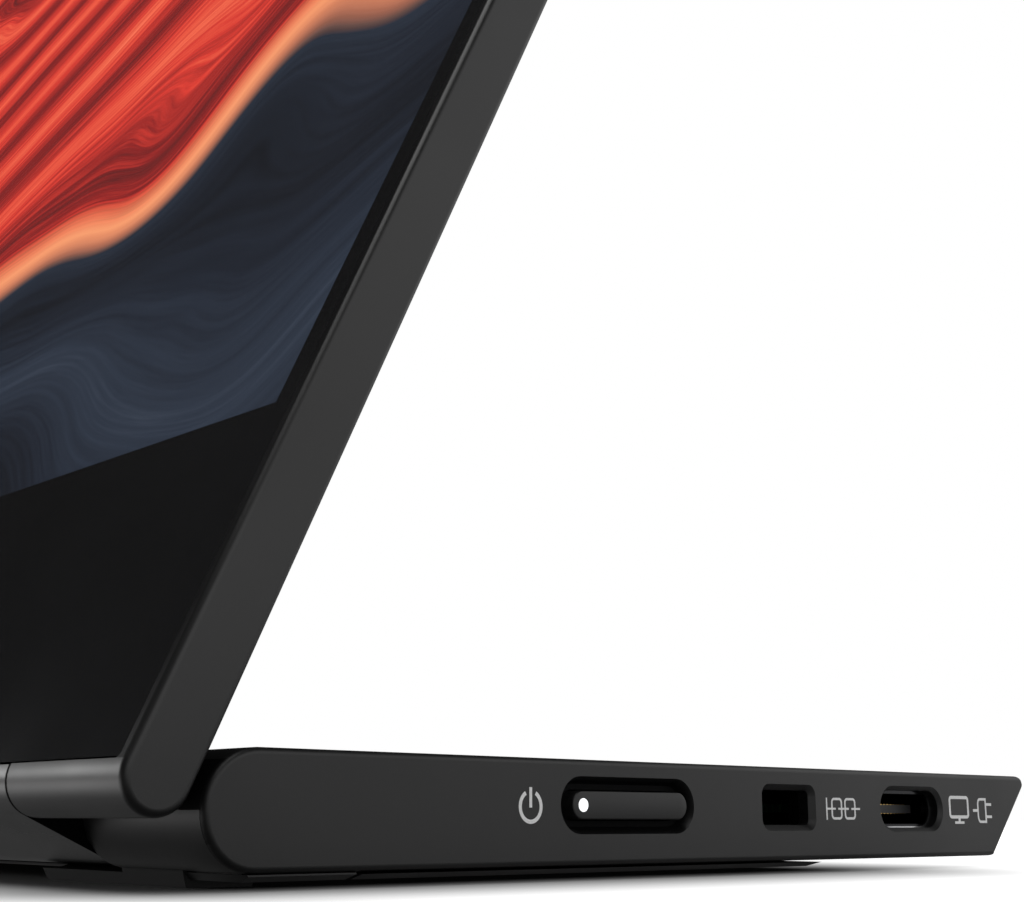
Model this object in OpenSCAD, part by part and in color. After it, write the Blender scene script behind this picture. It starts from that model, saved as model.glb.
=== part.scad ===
// Portable monitor: a thin screen that tilts and folds flat on a shallow base.
// Every module draws from the hinge axis: X across, Y towards the rear, Z up.
// Screen pieces are drawn folded flat over the base, with the display facing up.

/* [Overall] */
// Width across the screen and the base
body_w = 316; // [300:1:330]
// Angle of the screen above the desk
tilt = 65; // [60:1:80]

/* [Base housing] */
// Thickness of the base
base_t = 7.2; // [7:0.1:7.8]
// Depth of the underside, from the hinge axis to its rear edge
base_d = 80; // [78:0.2:90]
// Slope of the undercut rear face
rear_slope = 46; // [40:1:60]
// Rounding of the rear tip
tip_r = 0.9; // [0.6:0.1:1]
// Rounding of the rear heel
heel_r = 1.6; // [1:0.1:1.8]
// Rounding of the edges round each side face of the base
base_edge = 0.4; // [0.2:0.1:0.6]
// Top wall and front wall of the base
base_wall = 1; // [0.8:0.1:1.2]
// Side walls and rear wall of the base
side_wall = 1.4; // [1.3:0.1:1.8]
// Height above the underside where the front seam runs
seam_h = 3.64; // [3.5:0.02:3.9]
// Seam between the upper shell and the bottom cover
seam_gap = 0.05; // [0.04:0.01:0.1]
// Floor of the bottom cover behind the lift foot
floor_t = 1.2; // [1:0.1:1.4]

/* [Side controls and ports] */
// Height of the ports and buttons above the underside
port_h = 4.08; // [3.9:0.02:4.3]
// Length of the power button
power_len = 11.85; // [8:0.05:14]
// Height of every button
button_h = 1.94; // [1.5:0.02:2.2]
// Distance from the hinge axis to the middle of the power button
power_y = 31.38; // [28:0.02:34]
// How far a button stands out of the side
button_proud = 0.27; // [0.2:0.01:0.5]
// How far a button goes in
button_travel = 0.4; // [0.2:0.05:0.5]
// Gap round each button
button_gap = 0.1; // [0.08:0.01:0.15]
// Margin of the recess round each button
dish_margin = 1; // [0.8:0.02:1.2]
// Depth of the recess round each button
dish_d = 1; // [0.6:0.1:1.2]
// Slope of the recess wall, inwards over its depth
dish_draft = 0.5; // [0.2:0.05:0.7]
// Diameter of the power light
light_d = 1; // [0.8:0.05:1.2]
// Length of the brightness rocker
rocker_len = 14; // [10:0.5:16]
// Distance from the hinge axis to the middle of the rocker
rocker_y = 29; // [27:0.5:31]
// Length of the comfort button
comfort_len = 5; // [4:0.1:6]
// Distance from the hinge axis to the middle of the comfort button
comfort_y = 48; // [46:0.5:50]
// Distance from the hinge axis to the middle of the lock slot
lock_y = 49.8; // [46:0.1:52]
// Length of the lock slot
lock_len = 6; // [5.5:0.1:7]
// Height of the lock slot
lock_h = 2.7; // [2.5:0.05:3.1]
// Chamfer round the lock slot
lock_chamfer = 0.45; // [0.2:0.05:0.6]
// Distance from the hinge axis to the middle of each reversible port
usb_y = 67.05; // [64:0.05:70]
// Outside width of the port's steel shell
usb_w = 8.94; // [8.9:0.01:9.1]
// Outside height of the port's steel shell
usb_h = 3.16; // [3.1:0.01:3.3]
// How deep the port's shell lies below the side
usb_sink = 1.2; // [0.8:0.1:1.3]
// Margin of the recess round the port
usb_margin = 0.35; // [0.2:0.05:0.5]

/* [Screen] */
// Thickness of the screen
slab_t = 4.6; // [4.4:0.1:5]
// Gap between the folded screen and the base
fold_gap = 0.76; // [0.7:0.02:1]
// How far the screen's lower axis lies ahead of the hinge axis when folded
lead = 1.12; // [0.9:0.02:1.4]
// Rounding of the edges round each side face of the screen
slab_edge = 0.5; // [0.3:0.02:0.6]
// Width of the housing's rim round the glass
rim_w = 0.95; // [0.85:0.01:1.2]
// Width of the rim above the glass, where the top of the screen is round
top_rim = 1.65; // [1.6:0.05:1.7]
// Back wall of the screen housing
back_wall = 0.9; // [0.8:0.1:1]
// Thickness of the cover glass
glass_t = 0.7; // [0.5:0.1:0.8]
// How deep the glass lies below the rim
glass_sink = 0.1; // [0.05:0.01:0.2]
// Gap round the glass
glass_gap = 0.16; // [0.12:0.01:0.2]
// Border between the picture and the sides and top of the screen
border = 3.05; // [2.85:0.05:5]
// Height of the picture
picture_h = 174.3; // [165:0.1:176]
// Distance from the screen's lower axis to the picture
chin = 25.1; // [24:0.1:30]

/* [Hinge] */
// Distance from each side to its hinge arm
arm_inset = 14.5; // [13:0.1:20]
// Width of each hinge arm
arm_w = 44; // [36:1:60]
// Radius of the arm's barrel on the hinge axis
arm_r = 3.45; // [3.3:0.05:3.5]
// Gap beside each arm
arm_gap = 0.1; // [0.1:0.05:0.3]
// Gap round the arm's barrel
barrel_gap = 0.4; // [0.3:0.05:0.6]
// Diameter of the hinge shaft
shaft_d = 2.5; // [2:0.1:3]
// Clearance of the shaft in its bearings, at each side
shaft_fit = 0.05; // [0.02:0.01:0.1]
// Length of the arm's tongue inside the screen
tongue_l = 16; // [12:1:20]
// Thickness of the arm's tongue
tongue_t = 1.2; // [1:0.1:1.4]

/* [Lift foot and rubber feet] */
// Height of the rubber feet below the underside
foot_h = 1; // [0.9:0.05:1.3]
// How far the lift foot stands proud of the underside
plate_h = 0.5; // [0.4:0.05:0.6]
// Distance from the hinge axis to the end of the lift foot
plate_end = 54; // [50:0.5:56]
// Thickness of the lift foot
plate_t = 1.6; // [1.5:0.1:1.8]
// How far the lift foot's side edges slope in
plate_bevel = 1.2; // [0.6:0.1:1.6]
// Distance from the hinge axis to the lift foot's pins
pin_y = 6.4; // [6:0.1:7]
// Diameter of the lift foot's pins
pin_d = 1; // [0.8:0.05:1.1]
// Gap round the folded lift foot
plate_gap = 0.3; // [0.2:0.05:0.4]
// Width of the rubber nose on the lift foot
nose_w = 240; // [150:5:260]
// Distance from each side to the front rubber foot
pad_inset = 6.9; // [6:0.1:12]
// Width of each front rubber foot
pad_w = 18.8; // [12:0.1:24]
// Diameter of each rear rubber foot
rear_pad_d = 10; // [8:0.5:11]

/* [Hidden] */
$fn = 64;

// Overlap that joins two cuts or two solids of one piece
join = 0.01;
// Half of the base: the radius of its round front
base_r = base_t / 2;
half_w = body_w / 2;
picture_w = body_w - 2 * border;
// Height of the screen, from its rounded lower end's axis to its top
slab_l = chin + picture_h + border;
// Inside face of each side wall
wall_x = half_w - side_wall;
// Heights are measured from the hinge axis
under_z = -base_r;
top_z = base_r;
seam_z = under_z + seam_h;
port_z = under_z + port_h;
ceiling_z = top_z - base_wall;
// The sharp rear tip, before its rounding, and the rearmost point
rear_top = base_d + base_t / tan(rear_slope);
tip_y = rear_top - tip_r / tan(rear_slope / 2);
rear_most = tip_y + tip_r;

// Lower axis of the screen, folded flat, seen from the hinge axis
slab_r = slab_t / 2;
slab_z = base_r + fold_gap;
axis_s = [-lead, slab_z + slab_r];
link = norm(axis_s);
// The same axis with the screen at its resting tilt
rest_y = axis_s[0] * cos(tilt) - axis_s[1] * sin(tilt);
front_most = rest_y - slab_r;
// Middle of the whole object from front to rear, which stands over the origin
mid_y = (rear_most + front_most) / 2;

// Levels inside the screen, from its back face
glass_top = slab_t - glass_sink;
glass_z = glass_top - glass_t;
lcd_t = 0.8;
tape_t = 0.3;
frame_ledge = 1.25;
// Lower rail of the screen housing, above its rounded end
rail_l = 4.2;
rim_in = rim_w + frame_ledge;

// Outer and inner end of the right hinge arm
arm_x1 = half_w - arm_inset;
arm_x0 = arm_x1 - arm_w;
notch_r = arm_r + barrel_gap;
notch_lip = arm_r - 0.15;
shaft_r = shaft_d / 2;
bearing_l = 6;
bracket_l = 22;
bracket_t = 1.2;
bracket_d = 18;
barrel_r = base_r - base_wall - 0.2;

// Lift foot: the thick middle lies in a pocket, and a thin skirt covers the pocket's edge
plate_x = half_w - 5.3;
skirt_x = half_w - 0.2;
skirt_gap = 0.15;
pin_z = under_z - plate_h + plate_t / 2;
pin_r = pin_d / 2;
pin_len = 3;
pocket_z = under_z - plate_h + plate_t + plate_gap;
floor_z = pocket_z + 0.7;
nose_l = 2;
plate_mid_end = plate_end - nose_l - 0.3;
rear_floor_y = plate_end + 2;
rear_pad_y = plate_end + 12;
rear_pad_x = half_w - 34;

// Boards
board_t = 0.8;
// Board of the panel in the chin of the screen
driver_w = 140;
stud_inset = 6;
driver_studs = [stud_inset - driver_w / 2, driver_w / 2 - stud_inset];
driver_y0 = 7;
driver_y1 = 19;
board_x = half_w - 4;
board_y0 = usb_y - 9;
board_y1 = usb_y + 5;
side_board_w = 7;
screw_r = 0.8;
head_r = 1.5;
head_h = 0.6;
pillar_r = 2;
// Heights of the cover screws' pillars and of the wall patches behind the buttons
screw_seat_z = under_z + floor_t;
shank_l = 2.4;
bite = 0.6;
pad_t = 1.2;
pad_extra = 3;
lock_plate_t = 1;
// Rounding of the lock slot's corners
lock_r = 0.45;
cover_screw_places = [for (s = [-1, 1], x = [half_w / 3, half_w - 18]) [s * x, base_d - 4.1]];
bracket_x1 = arm_x0 - arm_gap - base_wall - 0.2;
bracket_x0 = bracket_x1 - bracket_l;
bracket_screw_places = [for (x = [bracket_x0 + 4, bracket_x1 - 4]) [x, bracket_d - 4]];
standoff_places = [for (s = [-1, 1], x = [half_w / 3.5, half_w - 28]) [s * x, board_y0 + 3]];
// Inner ends of the buttons and the switches behind them, inwards from the side face
button_in = side_wall + pad_t + 0.05;
flange_t = 0.6;
flange_extra = 1.5;
switch_x = button_in + flange_t + button_travel + 0.05;
switch_w = 3;
stem_l = 0.5;
rocker_pivot = side_wall + pad_t / 2;
rocker_pin_r = 0.4;
rocker_pin_h = button_h + 1.6;
rocker_flange = 5;
rocker_gap = 0.15;
port_l = 7.2;
port_wall = 0.3;

// Places the base pieces on the desk
module place() translate([0, -mid_y, foot_h + base_r]) children();

// Places the screen pieces: folded flat in their own frame, turned up to the tilt
module place_screen() place() rotate([tilt, 0, 0]) children();

// Turns a shape drawn in Y and Z into a solid along X, from x0 to x1
module along_x(x0, x1) translate([x0, 0, 0]) rotate([90, 0, 90]) linear_extrude(x1 - x0) children();

module rounded_rect(w, h, r) {
    square([w - 2 * r, h], center = true);
    square([w, h - 2 * r], center = true);
    for (x = [-1, 1], y = [-1, 1]) translate([x * (w / 2 - r), y * (h / 2 - r)]) circle(r);
}

// Straight bar from y0 to y1, its four long edges rounded
module bar(w, h, r, y0, y1) translate([0, y1, 0]) rotate([90, 0, 0])
    linear_extrude(y1 - y0) rounded_rect(w, h, r);

// Half of a drum of radius h / 2 across X with rounded rims, on the front side
module half_drum(w, h, r) rotate([0, 90, 0]) rotate([0, 0, 180]) rotate_extrude(angle = 180)
    rotate([0, 0, 90]) intersection() {
        rounded_rect(w, h, r);
        translate([-w / 2, -h / 2]) square([w, h / 2]);
    }

// Cylinder across X
module rod(r, x0, x1) translate([x0, 0, 0]) rotate([0, 90, 0]) cylinder(r = r, h = x1 - x0);

// Box given by its two opposite corners
module block(a, b) translate(a) cube(b - a);

// Rounded-end slot or key of length l and height h, drawn along Y and reaching inwards from
// the side at x = 0 to x = -d, with its inner end smaller all round by draft
module stadium(l, h, d, draft = 0) {
    r = h / 2;
    run = l / 2 - r;
    for (s = [-1, 1]) translate([-d, s * run, 0]) rotate([0, 90, 0])
        cylinder(r1 = r - draft, r2 = r, h = d);
    translate([0, run, 0]) rotate([90, 0, 0]) linear_extrude(2 * run)
        polygon([[-d, draft - r], [0, -r], [0, r], [-d, r - draft]]);
}

// Puts children drawn at x = 0 on the right (1) or the left (-1) side face
module at_side(side, y) mirror([side < 0 ? 1 : 0, 0, 0]) translate([half_w, y, port_z]) children();

// Repeats children on the right and on the left
module both_sides() {
    children();
    mirror([1, 0, 0]) children();
}

// Shape of the base

// Side view of the base: open towards the front, with its undercut rear end
module rear_profile(inset = 0) {
    slope = rear_slope;
    tip = tip_r;
    // Shift along Y that moves the sloping face in by the inset
    dy = inset / sin(slope);
    tip_c = [tip_y - dy, top_z - tip];
    heel_c = [base_d - dy - heel_r * tan((slope) / 2), under_z + heel_r];
    difference() {
        translate([-2 * base_r, under_z]) square([rear_top + 3 * base_r, base_t]);
        // Everything behind the sloping face
        polygon([[base_d - dy, under_z - join], [rear_top - dy, top_z + join],
            [rear_top + 2 * base_r, top_z + join], [rear_top + 2 * base_r, under_z - join]]);
        // Corner of the tip, outside its rounding
        difference() {
            polygon([[tip_c[0], top_z + join], [tip_c[0], tip_c[1]],
                [tip_c[0] + tip * sin(slope), tip_c[1] - tip * cos(slope)],
                [rear_top, top_z + join]]);
            translate(tip_c) circle(tip);
        }
        // Corner of the heel, outside its rounding
        difference() {
            polygon([[heel_c[0], under_z - join], [heel_c[0], heel_c[1]],
                [heel_c[0] + heel_r * sin(slope), heel_c[1] - heel_r * cos(slope)],
                [base_d, under_z - join]]);
            translate(heel_c) circle(heel_r);
        }
    }
}

module base_outer() intersection() {
    union() {
        half_drum(body_w, base_t, base_edge);
        bar(body_w, base_t, base_edge, 0, rear_top + base_r);
    }
    along_x(-body_w, body_w) rear_profile();
    // Rounds the side edges of the sloping face
    translate([0, base_d, under_z]) rotate([rear_slope, 0, 0])
        translate([0, 0, 50]) bar(body_w, 100, base_edge, -200, 200);
}

// Hollow inside of the base, between the side walls
module base_cavity() difference() {
    union() {
        rod(base_r - base_wall, -wall_x, wall_x);
        block([-wall_x, 0, floor_z], [wall_x, rear_floor_y, ceiling_z]);
        along_x(-wall_x, wall_x) intersection() {
            rear_profile(side_wall);
            translate([rear_floor_y - join, under_z + floor_t])
                square([rear_top, ceiling_z - under_z - floor_t]);
        }
    }
    // The floor above the lift foot's pocket, and the walls round each arm's notch
    block([-body_w, base_r - base_wall, -base_t], [body_w, rear_floor_y - join, floor_z]);
    both_sides() arm_notch(base_wall);
}

// Space that the right hinge arm turns in, grown by a wall
module arm_notch(grow = 0) {
    x0 = arm_x0 - arm_gap - grow;
    x1 = arm_x1 + arm_gap + grow;
    lip = notch_lip + grow;
    rod(notch_r + grow, x0, x1);
    block([x0, -base_t, -base_t], [x1, 0, base_t]);
    // Room above for the arm's straight side when the screen is folded flat
    block([x0, -join, sqrt((notch_r + grow) ^ 2 - lip ^ 2)], [x1, lip, base_t]);
}

// Where the bottom cover lies: between the side walls, below the seam, ahead of the rear wall
module cover_zone(gap = 0) difference() {
    union() {
        along_x(-wall_x + gap, wall_x - gap) intersection() {
            rear_profile(side_wall + gap);
            translate([-base_t, -base_t]) square([rear_top + base_t, base_t + seam_z - gap]);
        }
        both_sides() front_lap(gap);
    }
    // Round bearing of each shaft's outer end stays with the upper shell
    both_sides() rod(base_r - base_wall - 0.1 + gap, arm_x1 + arm_gap - join,
        arm_x1 + arm_gap + bearing_l + gap);
}

// Where the cover's round front laps over the side wall, up to the rounding of its edge
module front_lap(gap) difference() {
    block([wall_x - gap - join, -base_t, -base_t],
        [half_w - base_edge - lap_edge - gap, -gap, seam_z - gap]);
    rod(base_r - base_wall + gap, wall_x - 1, half_w);
}
lap_edge = 0.05;

module shaft_bores() both_sides() rod(shaft_r + shaft_fit,
    arm_x0 - arm_gap - base_wall - join, arm_x1 + arm_gap + bearing_l - base_wall);

// Recess and opening of a button of length l
module button_cut(l) {
    margin = 2 * dish_margin;
    translate([join, 0, 0]) stadium(l + margin, button_h + margin, dish_d + join, dish_draft);
    stadium(l + 2 * button_gap, button_h + 2 * button_gap, 3 * side_wall);
}

module port_cut() {
    m = 2 * usb_margin;
    translate([join, 0, 0]) stadium(usb_w + m, usb_h + m, usb_margin + join, usb_margin);
    stadium(usb_w + join, usb_h + join, 2 * side_wall);
}

module lock_cut() {
    run_y = lock_len / 2 - lock_r;
    run_z = lock_h / 2 - lock_r;
    along_x(-2 * side_wall, side_wall) rounded_rect(lock_len, lock_h, lock_r);
    // Chamfer: a cone round each corner, and a wedge along each pair of sides
    for (y = [-run_y, run_y], z = [-run_z, run_z]) translate([-lock_chamfer, y, z]) rotate([0, 90, 0])
        cylinder(r1 = lock_r, r2 = lock_r + lock_chamfer + join, h = lock_chamfer + join);
    translate([0, run_y, 0]) rotate([90, 0, 0]) linear_extrude(2 * run_y) lock_wedge(lock_h / 2);
    translate([0, 0, -run_z]) linear_extrude(2 * run_z) lock_wedge(lock_len / 2);
}

module lock_wedge(half) polygon([[-lock_chamfer, -half], [join, -half - lock_chamfer - join],
    [join, half + lock_chamfer + join], [-lock_chamfer, half]]);

// Thicker patch inside a side wall, behind a button's recess
module wall_pad(l) translate([-side_wall - pad_t, -l / 2, floor_z - port_z])
    cube([pad_t + join, l, ceiling_z - floor_z]);
module base_top_shell() color("#303132") place() difference() {
    union() {
        difference() {
            base_outer();
            base_cavity();
            cover_zone();
        }
        both_sides() rod(base_r - base_wall - 0.1, arm_x1 + arm_gap, arm_x1 + arm_gap + bearing_l);
        intersection() {
            union() {
                at_side(1, power_y) wall_pad(power_len + pad_extra);
                at_side(-1, rocker_y) wall_pad(rocker_len + pad_extra);
                at_side(-1, comfort_y) wall_pad(comfort_len + pad_extra);
            }
            block([-body_w, -base_t, floor_z + 0.2], [body_w, base_d, top_z]);
        }
        // Pillars that take the cover screws
        for (p = cover_screw_places) translate([p[0], p[1], screw_seat_z])
            cylinder(r = pillar_r, h = ceiling_z + join - screw_seat_z);
    }
    both_sides() arm_notch();
    shaft_bores();
    at_side(1, power_y) button_cut(power_len);
    at_side(-1, rocker_y) button_cut(rocker_len);
    at_side(-1, comfort_y) button_cut(comfort_len);
    at_side(-1, rocker_y) translate([-rocker_pivot, 0, -rocker_pin_h / 2 - shaft_fit])
        cylinder(r = rocker_pin_r + shaft_fit, h = rocker_pin_h + 2 * shaft_fit);
    at_side(1, lock_y) lock_cut();
    for (s = [-1, 1]) at_side(s, usb_y) port_cut();
    for (p = cover_screw_places) translate([p[0], p[1], screw_seat_z - join])
        cylinder(r = screw_r, h = shank_l);
    both_sides() for (p = bracket_screw_places) translate([p[0], p[1], ceiling_z - join])
        cylinder(r = screw_r, h = 0.6);
}

// Pins, pocket and fixed front strip of the lift foot

ear_x = plate_x + plate_gap;
strip_end = pin_y - plate_t / 2 - plate_gap;
ear_end = pin_y + 0.95;
strip_low = under_z - plate_h;
strip_lip = 0.45;

// One front rubber foot on the right, with sloping sides
module front_foot() difference() {
    x1 = half_w - pad_inset;
    x0 = x1 - pad_w;
    low = under_z - foot_h;
    top = under_z + 0.15;
    slant = 0.3;
    intersection() {
        along_x(x0, x1) polygon([[-0.7, top], [-0.2, low], [strip_end - 0.8, low],
            [strip_end - 0.5, top]]);
        translate([0, body_w / 2, 0]) rotate([90, 0, 0]) linear_extrude(body_w)
            polygon([[x0, top], [x0 + slant, low], [x1 - slant, low], [x1, top]]);
    }
    rod(notch_r, arm_x0, arm_x1 + arm_gap);
}

module front_strip() {
    top = under_z - seam_gap;
    along_x(-skirt_x, skirt_x) polygon([[-strip_lip, top], [0, strip_low],
        [strip_end, strip_low], [strip_end, top]]);
    block([-wall_x + seam_gap, 0, top - join], [wall_x - seam_gap, strip_end, under_z + 0.1]);
    // Ears that hold the lift foot's pins
    both_sides() {
        block([ear_x, strip_end - join, strip_low], [skirt_x, ear_end, top]);
        block([ear_x, strip_end - join, top - join], [wall_x - seam_gap, ear_end, under_z + 0.1]);
    }
}

// Pocket for the folded lift foot, with a longer stretch for its rubber nose
module foot_pocket() {
    block([-ear_x, strip_end, -base_t], [ear_x, plate_mid_end + plate_gap, pocket_z]);
    block([-nose_w / 2 - plate_gap, strip_end, -base_t],
        [nose_w / 2 + plate_gap, plate_end + join, pocket_z]);
}

// Wedge that slopes the right end of the front strip like the lift foot's side edge
module strip_bevel() translate([0, base_d, 0]) rotate([90, 0, 0]) linear_extrude(2 * base_d)
    polygon([[skirt_x, under_z - skirt_gap], [skirt_x - plate_bevel, strip_low],
        [skirt_x - plate_bevel, -base_t], [half_w + 1, -base_t], [half_w + 1, under_z - skirt_gap]]);

module base_bottom_cover() color("#262728") place() difference() {
    union() {
        difference() {
            intersection() {
                base_outer();
                cover_zone(seam_gap);
            }
            base_cavity();
            foot_pocket();
        }
        front_strip();
        for (p = standoff_places) translate([p[0], p[1], screw_seat_z - join])
            cylinder(r = pillar_r, h = port_z - board_t / 2 - screw_seat_z + join);
    }
    both_sides() {
        arm_notch();
        // Opens the underside in front of the arm's barrel
        block([arm_x0 - arm_gap, -base_t, -base_t], [arm_x1 + arm_gap, notch_lip - 2, 0]);
        block([arm_x0 - arm_gap, -base_t, -base_t], [arm_x1 + arm_gap, strip_end + join, under_z]);
        strip_bevel();
        front_foot();
        translate([0, pin_y, pin_z]) rod(pin_fit_r, ear_x - join, plate_x + pin_len);
    }
    shaft_bores();
    for (p = cover_screw_places) translate([p[0], p[1], under_z - join]) {
        cylinder(r = screw_r + seam_gap, h = base_t / 2);
        cylinder(r = head_r + seam_gap, h = head_h + join);
    }
    // Finger scoop behind the lift foot
    translate([0, plate_end, under_z - join]) cylinder(r = scoop_r, h = scoop_d + join);
}
scoop_r = 10;
scoop_d = 0.6;

module front_feet() color("#141415") place() both_sides() front_foot();

module rear_feet() color("#141415") place() both_sides()
    translate([rear_pad_x, rear_pad_y, under_z - foot_h]) cylinder(d = rear_pad_d, h = foot_h);

// A screw with its head down at z = 0 and its shank up
module screw_up(length) {
    cylinder(r = head_r, h = head_h);
    cylinder(r = screw_r, h = length);
}

module cover_screws() color("#4a4b4d") place() for (p = cover_screw_places)
    translate([p[0], p[1], under_z]) screw_up(floor_t + shank_l - 0.2);

// Boards and ports inside the base

module port_seat(s) at_side(s, usb_y) translate([join, 0, 0])
    stadium(usb_w, usb_h, usb_sink + port_l + 2 * join);

module main_board() color("#1e4a33") place() difference() {
    block([-board_x, board_y0, port_z - board_t / 2], [board_x, board_y1, port_z + board_t / 2]);
    for (s = [-1, 1]) port_seat(s);
}

module shield_can() color("#b9bcc0") place()
    block([-can_x0, board_y0 + can_gap, port_z + board_t / 2],
        [can_x1, board_y1 - can_gap, ceiling_z - can_gap / 5]);
can_x0 = 40;
can_x1 = 25;
can_gap = 1.5;

module side_board(s, y, l) at_side(s, y) translate([-switch_x - side_board_w, -l / 2, 0])
    block([0, 0, floor_z - port_z], [side_board_w, l, -button_h / 2 - 0.3]);

module button_board_right() color("#1e4a33") place() side_board(1, power_y, power_len + 4);

module button_board_left() color("#1e4a33") place()
    side_board(-1, (rocker_y + comfort_y) / 2, comfort_y - rocker_y + rocker_len);

// Small switch with its stem towards the side face
module switch_at(s, y) at_side(s, y) {
    translate([-switch_x - switch_w, -switch_w / 2, -button_h / 2 - 0.3])
        cube([switch_w - stem_l, switch_w, button_h + 0.5]);
    rotate([0, 90, 0]) translate([0, 0, -switch_x - stem_l - join]) cylinder(r = 0.6, h = stem_l + join);
}

module button_switches() color("#3a3b3d") place() {
    switch_at(1, power_y);
    switch_at(-1, comfort_y);
    for (dy = [-1, 1]) switch_at(-1, rocker_y + dy * (rocker_len / 2 - 2.5));
}

// Steel shell of a reversible port, open towards the side
module port_shell(s) color("#c9cbce") place() at_side(s, usb_y) translate([-usb_sink, 0, 0])
    difference() {
        stadium(usb_w, usb_h, port_l);
        translate([join, 0, 0])
            stadium(usb_w - 2 * port_wall, usb_h - 2 * port_wall, port_l - port_back + join);
    }
port_back = 0.6;
tongue_w = 6.7;
tongue_h = 0.7;
tongue_in = 1.2;

module port_tongue(s) color("#17181a") place() at_side(s, usb_y)
    block([-usb_sink - port_l + port_back, -tongue_w / 2, -tongue_h / 2],
        [-usb_sink - tongue_in, tongue_w / 2, tongue_h / 2]);

// Rows of contacts on both faces of the tongue
contact_n = 12;
contact_pitch = 0.5;
contact_w = 0.25;
contact_t = 0.06;
contact_in = 0.3;
module port_contacts(s) color("#c9a04a") place() at_side(s, usb_y)
    for (i = [0 : contact_n - 1], side = [0, 1]) mirror([0, 0, side])
        translate([0, (i - (contact_n - 1) / 2) * contact_pitch, tongue_h / 2])
            block([-usb_sink - port_l + port_back, -contact_w / 2, 0],
                [-usb_sink - tongue_in - contact_in, contact_w / 2, contact_t]);

module port_contacts_right() port_contacts(1);
module port_contacts_left() port_contacts(-1);
module port_shell_right() port_shell(1);
module port_shell_left() port_shell(-1);
module port_tongue_right() port_tongue(1);
module port_tongue_left() port_tongue(-1);

module lock_plate() color("#9b9da1") place() at_side(1, lock_y) difference() {
    block([-side_wall - lock_plate_t, -lock_len, floor_z - port_z],
        [-side_wall, lock_len, ceiling_z - port_z]);
    translate([-2 * side_wall - lock_plate_t, -lock_len / 2, -lock_h / 2])
        cube([4 * side_wall, lock_len, lock_h]);
}

module base_weight() color("#7d8084") place()
    block([-weight_x, ear_end + weight_gap, floor_z], [weight_x, plate_mid_end, floor_z + weight_t]);
weight_x = bracket_x0 - 6;
weight_gap = 3;
weight_t = 1.5;

// Hinge

module hinge_bracket() difference() {
    union() {
        rod(barrel_r, bracket_x0, bracket_x1);
        block([bracket_x0, 0.5, ceiling_z - bracket_t], [bracket_x1, bracket_d, ceiling_z]);
    }
    rod(shaft_r + shaft_fit, bracket_x0 - join, bracket_x1 + join);
    for (p = bracket_screw_places) translate([p[0], p[1], 0]) cylinder(r = screw_r, h = base_t);
}
module hinge_bracket_right() color("#8f9296") place() hinge_bracket();
module hinge_bracket_left() color("#8f9296") place() mirror([1, 0, 0]) hinge_bracket();

module bracket_screws() color("#4a4b4d") place() both_sides() for (p = bracket_screw_places)
    translate([p[0], p[1], ceiling_z - bracket_t - head_h]) screw_up(head_h + bracket_t + bite - 0.1);

module hinge_shaft() rod(shaft_r, bracket_x0 - 0.5, arm_x1 + arm_gap + bearing_l - base_wall - 0.3);
module hinge_shaft_right() color("#a9acb0") place_screen() hinge_shaft();
// The left shaft is hollow, for the cable between the base and the screen
module hinge_shaft_left() color("#a9acb0") place_screen() mirror([1, 0, 0]) difference() {
    hinge_shaft();
    chain([cable_start, cable_route[0], cable_route[1]], cable_r + cable_gap);
}

// Route of the cable from the hinge axis into the screen, drawn on the right and mirrored
cable_r = 0.6;
cable_gap = 0.12;
cable_x = arm_x0 + 10;
cable_level = back_wall + tongue_t + cable_r + 0.05;
cable_start = [bracket_x0 - 1.2, 0, 0];
cable_route = [[cable_x, 0, 0], [cable_x, axis_s[0], axis_s[1]],
    [cable_x, rail_l + 3.5 - lead, slab_z + cable_level],
    [driver_w / 2 - 4, driver_y0 + 5 - lead, slab_z + cable_level]];

// Round cable along a list of points
module chain(points, r) {
    for (i = [0 : len(points) - 2]) {
        step = points[i + 1] - points[i];
        translate(points[i]) rotate([0, acos(step[2] / norm(step)), atan2(step[1], step[0])])
            cylinder(r = r, h = norm(step), $fn = 32);
    }
    for (i = [1 : len(points) - 2]) translate(points[i]) sphere(r = r, $fn = 32);
}

module cable_in_screen() color("#1b1c1e") place_screen() mirror([1, 0, 0])
    chain(concat([cable_start], cable_route), cable_r);

// From the main board to the hinge axis, ending short of the part that turns
module cable_in_base() color("#1b1c1e") place() mirror([1, 0, 0]) chain([
    [cable_start[0] - 0.3, 0, 0], [cable_start[0] - 2.5, 0, 0],
    [cable_start[0] - 2.5, board_y0 + 2, port_z + board_t / 2 + cable_r + 0.05]], cable_r);

// Outline round two circles of unlike radius and the straight sides that touch both
module belt(p1, r1, p2, r2) {
    reach = norm(p2 - p1);
    aim = atan2(p2[1] - p1[1], p2[0] - p1[0]);
    lean = acos((r1 - r2) / reach);
    function rim(p, r, a) = p + r * [cos(a), sin(a)];
    translate(p1) circle(r1);
    translate(p2) circle(r2);
    polygon([rim(p1, r1, aim - lean), rim(p2, r2, aim - lean),
        rim(p2, r2, aim + lean), rim(p1, r1, aim + lean)]);
}

// Moves children so that Y is measured up the screen from its lower axis, and Z from its back
module on_slab() translate([0, -lead, slab_z]) children();

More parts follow.
